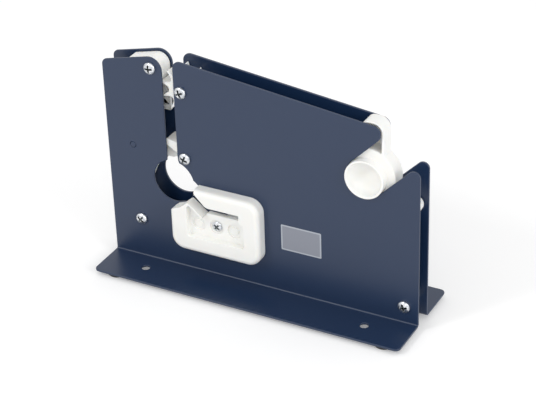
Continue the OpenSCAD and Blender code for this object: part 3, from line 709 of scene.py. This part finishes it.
def hub_mesh():
    centre = axis_of("hub_spin")
    tube_end = width_of("tape_hub", 1) / 2
    turns = [math.tau * index / wing_count for index in range(wing_count)]

    def turned_corners(corners, turn):
        cosine, sine = math.cos(turn), math.sin(turn)
        return [(x * cosine - z * sine, x * sine + z * cosine, r) for x, z, r in corners]

    outline = []
    for turn in turns:
        first = math.atan2(wing_corners[-1][1], wing_corners[-1][0])
        last = math.atan2(wing_corners[0][1], wing_corners[0][0]) + math.tau / wing_count
        steps = round((last - first) / drum_step)
        angles = [first + (last - first) * step / steps for step in range(1, steps)]
        rim = [(drum_r / mm * math.cos(angle), drum_r / mm * math.sin(angle), 0)
               for angle in angles]
        outline += turned_corners(wing_corners + rim, turn)
    drum = prism(from_mm(outline, centre), -hub_half_gap, hub_half_gap)
    pockets = [prism(from_mm(turned_corners(pocket_corners, turn), centre),
                     -hub_half_gap - cutter_margin, pocket_back_y) for turn in turns]

    def disc(radius, y):
        return flat_loop(circle(centre.x, centre.z, radius, hub_sides), y)

    def cup(side):
        loops = [disc(cup_r, side * (tube_end + cutter_margin)),
                 disc(cup_r, side * (tube_end - cup_straight * cup_depth))]
        for step in range(1, cup_steps):
            turn = math.pi / 2 * step / cup_steps
            deep = cup_depth * (cup_straight + (1 - cup_straight) * math.sin(turn))
            loops.append(disc(cup_r * math.cos(turn), side * (tube_end - deep)))
        return skin(loops)

    tube = skin([disc(hub_tube_r, -tube_end), disc(hub_tube_r, tube_end)])
    return carved(carved(drum, tube, operation="UNION"), cup(-1), cup(1), *pockets)


hub = made_object("hub_and_wings", hub_mesh(), plastic)
rounded_edges(hub, hub_edge_r, hub_edge_steps, hub_sharp_deg)
in_place_of(hub, "tape_hub")

# ---- trimming guard ----
# A thick moulded cover on the front plate with heavily rounded edges. Its mouth and guide
# slot lead the bag's surplus to the steel blade. A screw in its deeply sunk panel, with a
# nut behind the plate, holds it.
plate_face_y = -7.5 * mm
guard_t = width_of("trim_guard", 1)
guard_half_w, guard_half_h = width_of("trim_guard", 0) / 2, width_of("trim_guard", 2) / 2
guard_corner_r, guard_corner_steps = 9 * mm, 10
guard_soft_edge, guard_soft_steps = 3.4 * mm, 8
panel_sink = 4.5 * mm
seat_r, seat_sink, seat_hole_r, seat_sides = 5 * mm, 1.2 * mm, 2.15 * mm, 48
ring_apart, ring_r, ring_sink = 12.8 * mm, 2.6 * mm, 1.1 * mm
carved_edge_r, carved_edge_steps = 0.25 * mm, 3
guard_edge_r, guard_sharp_deg = 0.12 * mm, 50
blade_edge_r, nut_edge_r = 0.04 * mm, 0.2 * mm
# corners from the guard's middle, in mm: x, z and the corner's radius
mouth_corners = [(-33, 24, 0), (-14.2, 24, 0), (-13.6, 20.6, 3), (-5.2, 12.3, 5),
                 (18, 12.3, 0), (18, 5.9, 0), (-6.7, 5.9, 0.5), (-7.9, 4.5, 0), (-18.6, 13, 1),
                 (-24.2, 8.1, 3), (-28.8, 6.6, 2), (-32.3, 3.6, 0), (-33, 3.4, 0)]
panel_corners = [(-19.4, -11.3, 1.5), (-19.4, 9.7, 1), (-17.5, 10.9, 0.8), (-8.6, 3.6, 0),
                 (-7.5, 5, 0), (-6.7, 6.4, 0), (21, 5.92, 0), (21, -11.3, 1.5)]


def softened(mesh, radius, steps):
    """The mesh with its sharp edges rounded for good, so that more can be cut in it."""
    block = made_object("softened", mesh, plastic)
    rounded_edges(block, radius, steps)
    block.modifiers.remove(block.modifiers["flat faces"])
    result = drawn_mesh(block)
    bpy.data.objects.remove(block)
    result.materials.clear()
    return result


def guard_mesh():
    centre, seat = centre_of("trim_guard"), centre_of("guard_screw")
    front_y = plate_face_y - guard_t
    floor_y = front_y + panel_sink
    over, under = front_y - cutter_margin, plate_face_y + cutter_margin

    def outline(inset):
        across_x, across_z = guard_half_w - guard_corner_r, guard_half_h - guard_corner_r
        path = []
        for x, z, first in ((across_x, across_z, 0), (-across_x, across_z, 90),
                            (-across_x, -across_z, 180), (across_x, -across_z, 270)):
            path += arc(centre.x + x, centre.z + z, guard_corner_r - inset, first, first + 90,
                        guard_corner_steps)
        return path

    def cutter(corners, depth_y):
        return prism(from_mm(corners, centre), over, depth_y)

    def round_cutter(x, radius, near_y, far_y):
        return prism(circle(seat.x + x, seat.z, radius, seat_sides), near_y, far_y)

    def ring_cutter(x):
        core = round_cutter(x, ring_r, floor_y - 2 * cutter_margin, floor_y + 2 * cutter_margin)
        return carved(round_cutter(x, seat_r, floor_y - cutter_margin, floor_y + ring_sink), core)

    loops = [flat_loop(outline(0), plate_face_y)]
    for step in range(guard_soft_steps + 1):
        turn = math.pi / 2 * step / guard_soft_steps
        loops.append(flat_loop(outline(guard_soft_edge * (1 - math.cos(turn))),
                               front_y + guard_soft_edge * (1 - math.sin(turn))))
    cover = softened(carved(skin(loops), cutter(mouth_corners, under),
                            cutter(panel_corners, floor_y)), carved_edge_r, carved_edge_steps)
    return carved(cover, round_cutter(0, seat_r, over, floor_y + seat_sink),
                  round_cutter(0, seat_hole_r, over, under),
                  ring_cutter(-ring_apart), ring_cutter(ring_apart))


guard = made_object("guard_cover", guard_mesh(), plastic)
rounded_edges(guard, guard_edge_r, angle=guard_sharp_deg)
in_place_of(guard, "trim_guard")
eased("trim_blade", steel, blade_edge_r)
eased("guard_nut", zinc, nut_edge_r)

# ---- screws ----
# Zinc-plated pan heads with a tapered cross recess, ten through the plates into the sleeves
# and one in the guard. Each was driven home at its own turn, so the crosses don't line up.
pan_r, pan_h = 4 * mm, 2.7 * mm
shank_r, shank_len = 2 * mm, 6.5 * mm
shank_chamfer = (0.4 * mm, 0.5 * mm)    # across and along the shank
rim_rounding = 0.15 * mm
rim_share = 0.42                  # share of the head's height below its dome
dome_deg, dome_sine = 18, 0.309   # where the dome starts on its arc
dome_steps, screw_sides = 8, 40
cross_reach, cross_w = 2.75 * mm, 1.15 * mm
# loops of a cross arm: share of the head's height, mm above that, shares of reach and width
cross_taper = ((1, 0.6, 1.25, 1.075), (1, 0, 1.0, 1.0), (0.35, 0, 0.45, 0.835))
recess_least_depth = 0.07 * mm
recess_floor_share, recess_reach_share = 0.2, 0.9
screw_edge_r, screw_sharp_deg = 0.1 * mm, 42
guard_head_r, guard_head_h, guard_shank_len = 3.4 * mm, 1.6 * mm, 8.5 * mm
guard_screw_turns = (math.radians(40), math.radians(41))
screw_seed = 7


def screw_mesh(radius, height, length):
    """A pan head with its seat at y = 0 and its shank towards +y."""
    foot_cosine = math.cos(math.radians(dome_deg))

    def dome_y(sine):
        share = (sine - dome_sine) / (1 - dome_sine)
        return -height * (rim_share + (1 - rim_share) * share)

    across, along = shank_chamfer
    profile = [(0.0, length), (shank_r - across, length), (shank_r, length - along),
               (shank_r, 0.0), (radius - rim_rounding, 0.0), (radius, -rim_rounding),
               (radius, -height * rim_share)]
    for step in range(1, dome_steps + 1):
        turn = math.radians(dome_deg + (90 - dome_deg) * step / dome_steps)
        profile.append((radius * math.cos(turn) / foot_cosine, dome_y(math.sin(turn))))
    turned = bmesh.new()
    rings = []
    for r, y in profile:
        spokes = [k * math.tau / screw_sides for k in range(screw_sides if r > same_point else 1)]
        rings.append([turned.verts.new((r * math.cos(spoke), y, r * math.sin(spoke)))
                      for spoke in spokes])
    for near, far in zip(rings, rings[1:]):
        for k in range(screw_sides):
            corners = [near[k % len(near)], near[(k + 1) % len(near)],
                       far[(k + 1) % len(far)], far[k % len(far)]]
            turned.faces.new(list(dict.fromkeys(corners)))
    bmesh.ops.recalc_face_normals(turned, faces=turned.faces)

    reach = cross_reach * radius / pan_r
    arms = []
    for turn in (0, 90):
        quarter = Matrix.Rotation(math.radians(turn), 3, "Y")
        loops = []
        for height_share, above_mm, reach_share, width_share in cross_taper:
            x, z = reach * reach_share, cross_w / 2 * width_share
            y = -height * height_share - above_mm * mm
            loops.append([quarter @ Vector(corner)
                          for corner in ((x, y, z), (-x, y, z), (-x, y, -z), (x, y, -z))])
        arms.append(skin(loops))
    head = carved(mesh_from(turned, "screw"), *arms)
    # the faces inside the cross are marked so that the zinc finish paints shade on them
    recess = head.attributes.new("recess", "FLOAT", "FACE")
    for face in head.polygons:
        spoke = math.hypot(face.center.x, face.center.z) * foot_cosine / radius
        top_y = dome_y(math.sqrt(max(0, 1 - spoke ** 2)))
        inside = top_y + recess_least_depth < face.center.y < -recess_floor_share * height
        recess.data[face.index].value = float(inside and spoke < recess_reach_share)
    return head


def driven_screws(name, node, places, screw, facing, turns=(0.0, math.tau)):
    """One screw at each place. facing is 0 for a head to the front, or half a turn."""
    prototype = placed(name + "_screw", screw)
    tree = Pattern(name, Screw=prototype, Seed=screw_seed, Facing=float(facing),
                   Least_turn=turns[0], Most_turn=turns[1], Finish=zinc)
    turn = tree.node("FunctionNodeRandomValue", {"data_type": "FLOAT"}, {
        2: tree.given("Least turn"), 3: tree.given("Most turn"), "Seed": tree.given("Seed")}, 1)
    shape = tree.node("GeometryNodeObjectInfo", {}, {"Object": tree.given("Screw")}, "Geometry")
    stood = tree.node("GeometryNodeInstanceOnPoints", {}, {
        "Points": tree.entry, "Instance": shape,
        "Rotation": tree.node("ShaderNodeCombineXYZ", {}, {"Y": turn, "Z": tree.given("Facing")})})
    spots = bpy.data.meshes.new(name + "_places")
    spots.from_pydata(places, [], [])
    piece = tree.baked(name, spots, stood, zinc)
    bpy.data.objects.remove(prototype)
    rounded_edges(piece, screw_edge_r, angle=screw_sharp_deg)
    in_place_of(piece, node)


screw = screw_mesh(pan_r, pan_h, shank_len)
for name, node, seat_y, facing in (("front_pan_heads", "front_screws", plate_face_y, 0),
                                   ("rear_pan_heads", "rear_screws", -plate_face_y, math.pi)):
    middles = [centre_of(sleeve) for sleeve in sleeves]
    driven_screws(name, node, [(spot.x, seat_y, spot.z) for spot in middles], screw, facing)
guard_screw_spot = centre_of("guard_screw")
guard_seat_y = plate_face_y - guard_t + panel_sink + seat_sink
driven_screws("guard_pan_head", "guard_screw",
              [(guard_screw_spot.x, guard_seat_y, guard_screw_spot.z)],
              screw_mesh(guard_head_r, guard_head_h, guard_shank_len), 0, guard_screw_turns)

# ---- feet ----
# Four black rubber buttons, moulded and stuck under the corners of the flanges, so that
# the sealer doesn't slide on the counter.
foot_edge_r, foot_edge_steps = 0.5 * mm, 3
rubber_black = (0.018, 0.018, 0.019, 1)
rubber_dusty = (0.034, 0.034, 0.036, 1)
rubber_dust, rubber_grain = 1.6 * mm, 0.3 * mm
rubber_grain_depth = 0.03 * mm


def moulded_rubber():
    finish = Finish("moulded_rubber")
    dust = finish.speckle(rubber_dust, 3)
    grain = finish.speckle(rubber_grain, 2)
    return finish.shown(
        Base_Color=finish.blend(dust, rubber_black, rubber_dusty),
        Roughness=0.62 + dust * 0.18,
        Normal=finish.relief(grain, rubber_grain_depth, 0.6),
    )


eased("rubber_feet", moulded_rubber(), foot_edge_r, foot_edge_steps)

# ---- blank label ----
# A thin grey foil label with a paler border, stuck on the front plate where the photograph
# has one. It carries nothing.
label_left, label_right = 15.1 * mm, 42.8 * mm
label_foot, label_head = 35.5 * mm, 53.5 * mm
label_t = 0.12 * mm
label_border, border_blur = 0.9 * mm, 0.09 * mm
label_corner = 0.7 * mm
label_edge_r = 0.04 * mm
foil_border = (0.42, 0.45, 0.50, 1)
foil_grey = (0.25, 0.265, 0.31, 1)
foil_grain, foil_grain_depth = 0.4 * mm, 0.01 * mm


def foil():
    finish = Finish("foil")
    place = finish.node("ShaderNodeSeparateXYZ", {}, {0: finish.place})

    def edge_gap(along, low, high):
        return (high - low) / 2 - abs(along - (low + high) / 2)

    side_gap = edge_gap(place, label_left, label_right)
    end_gap = edge_gap(place.named("Z"), label_foot, label_head)
    inside = side_gap.maths("MINIMUM", side_gap, end_gap).between(
        label_border - border_blur, label_border + border_blur)
    grain = finish.speckle(foil_grain, 2)
    return finish.shown(
        Base_Color=finish.blend(inside, foil_border, foil_grey),
        Roughness=0.42 + grain * 0.12,
        Metallic=0.15,
        Normal=finish.relief(grain, foil_grain_depth, 0.5),
    )


def label_mesh():
    corners = [(label_right, label_head), (label_left, label_head),
               (label_left, label_foot), (label_right, label_foot)]
    path = rounded_path([(x, z, label_corner) for x, z in corners])
    return prism(path, plate_face_y, plate_face_y - label_t)


label = made_object("blank_label", label_mesh(), foil())
rounded_edges(label, label_edge_r, 1)
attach(label, frame["nodes"]["front_plate"]["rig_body"])

# ---- floor, lights and background ----
# A pale studio table under three soft round lamps, on which the object keeps a faint shadow.
# The table and the room are white where the camera, or metal and gloss, look at them.
floor_half = 3.0
floor_light = (0.88, 0.88, 0.88, 1)
floor_shade = (0.86, 0.86, 0.86, 1)
floor_mottle = 400 * mm
white = (1, 1, 1, 1)
floor_glow = 0.20
room_glow = 0.77
lamp_aim = Vector((0, 0, 0.07))
# each lamp's place and size in metres, and its power in watts
lamps = {
    "key_lamp": ((-0.78, -1.2, 1.3), 0.4, 6.5),
    "side_lamp": ((1.7, -0.6, 0.8), 0.8, 9),
    "front_lamp": ((0.75, -1.35, 1.0), 0.4, 3.6),
}


def seen_as_backdrop(nodes):
    """1 for the rays that show the background itself, or its image in metal and gloss."""
    seen = nodes.node("ShaderNodeLightPath", output="Is Camera Ray")
    mirrored = seen.maths("MAXIMUM", seen.named("Is Glossy Ray"), seen.named("Is Transmission Ray"))
    return seen.maths("MAXIMUM", seen, mirrored)


def pale_floor():
    finish = Finish("pale_floor")
    mottled = finish.blend(finish.speckle(floor_mottle, 2), floor_shade, floor_light)
    lit = finish.node("ShaderNodeBsdfDiffuse", {}, {"Color": mottled})
    glow = finish.node("ShaderNodeEmission", {}, {"Color": white, "Strength": floor_glow})
    both = finish.node("ShaderNodeAddShader", {}, {0: lit, 1: glow})
    shader = finish.node("ShaderNodeMixShader", {}, {0: seen_as_backdrop(finish), 1: lit, 2: both})
    finish.node("ShaderNodeOutputMaterial", {}, {"Surface": shader})
    return finish.material


floor_mesh = bpy.data.meshes.new("floor")
floor_mesh.from_pydata([(-floor_half, -floor_half, 0), (floor_half, -floor_half, 0),
                        (floor_half, floor_half, 0), (-floor_half, floor_half, 0)],
                       [], [(0, 1, 2, 3)])
floor = made_object("floor", floor_mesh, pale_floor())

for name, (place, size, power) in lamps.items():
    light = bpy.data.lights.new(name, "AREA")
    light.shape = "DISK"
    light.size = size
    light.energy = power
    lamp = placed(name, light)
    lamp.location = place
    lamp.rotation_euler = (lamp_aim - Vector(place)).to_track_quat("-Z", "Y").to_euler()

world = bpy.data.worlds.new("studio")
bpy.context.scene.world = world
world.use_nodes = True
world.node_tree.nodes.clear()
sky = Nodes(world.node_tree)
background = sky.node("ShaderNodeBackground", {}, {
    "Color": white, "Strength": seen_as_backdrop(sky) * (1 - room_glow) + room_glow})
sky.node("ShaderNodeOutputWorld", {}, {"Surface": background})
bpy.context.scene.view_settings.view_transform = "Standard"
